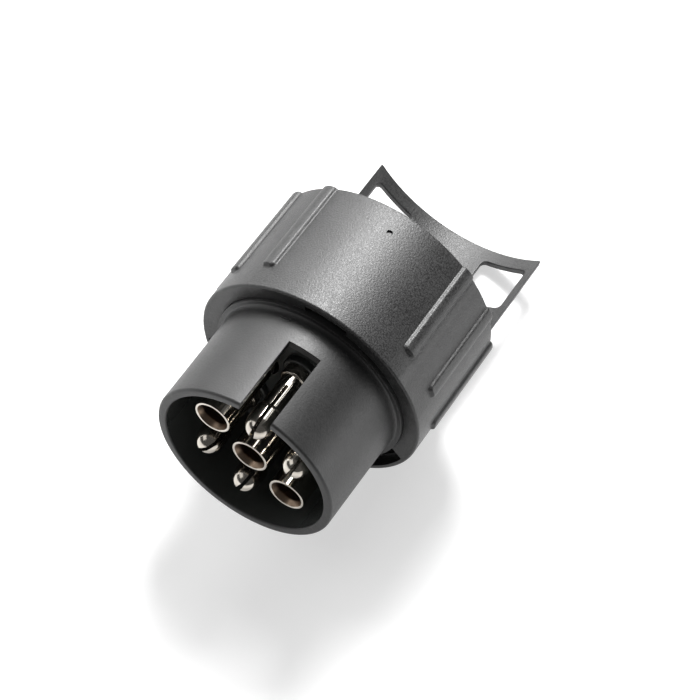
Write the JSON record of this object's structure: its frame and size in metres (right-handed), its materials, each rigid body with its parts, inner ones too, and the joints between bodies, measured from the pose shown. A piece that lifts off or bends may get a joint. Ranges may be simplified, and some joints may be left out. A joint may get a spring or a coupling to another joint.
{
  "type": "trailer wiring adapter",
  "caption": "Short straight trailer wiring adapter: keyed round plug with pin and tube contacts, ribbed drum with a socket behind, and a curved rear guard.",
  "frame": {"origin": "on the connector's axis, halfway along the neck, 11.1 mm in front of the drum's front face", "axes": "+Y along the connector's axis from the plug's mouth to the free end of the guard, +Z from the axis to the keyway, +X to the right when looking along +Y with the keyway up"},
  "size_m": [0.0454, 0.0775, 0.048],
  "materials": {
    "neck_plastic": "moulded black polyamide, smooth satin",
    "drum_plastic": "moulded black polyamide, fine eroded grain",
    "insert_plastic": "moulded black polyamide, satin",
    "board": "coated glass-epoxy board",
    "rubber": "matt black rubber",
    "screw_steel": "zinc-plated steel",
    "contact_nickel": "bright nickel plate over brass"
  },
  "bodies": {
    "root": {"plug_shell": "neck_plastic", "drum_shell": "drum_plastic", "insert_flange": "insert_plastic", "contact_block": "insert_plastic", "link_board": "board", "split_pin_1": "contact_nickel", "split_pin_2": "contact_nickel", "split_pin_3": "contact_nickel", "split_pin_4": "contact_nickel", "tube_contact_1": "contact_nickel", "tube_contact_2": "contact_nickel", "tube_contact_3": "contact_nickel", "socket_contact_01": "contact_nickel", "socket_contact_02": "contact_nickel", "socket_contact_03": "contact_nickel", "socket_contact_04": "contact_nickel", "socket_contact_05": "contact_nickel", "socket_contact_06": "contact_nickel", "socket_contact_07": "contact_nickel", "socket_contact_08": "contact_nickel", "socket_contact_09": "contact_nickel", "socket_contact_10": "contact_nickel", "socket_contact_11": "contact_nickel", "socket_contact_12": "contact_nickel", "socket_contact_13": "contact_nickel", "shell_seal": "rubber", "socket_gasket": "rubber", "clamp_screws": "screw_steel"}
  },
  "joints": []
}
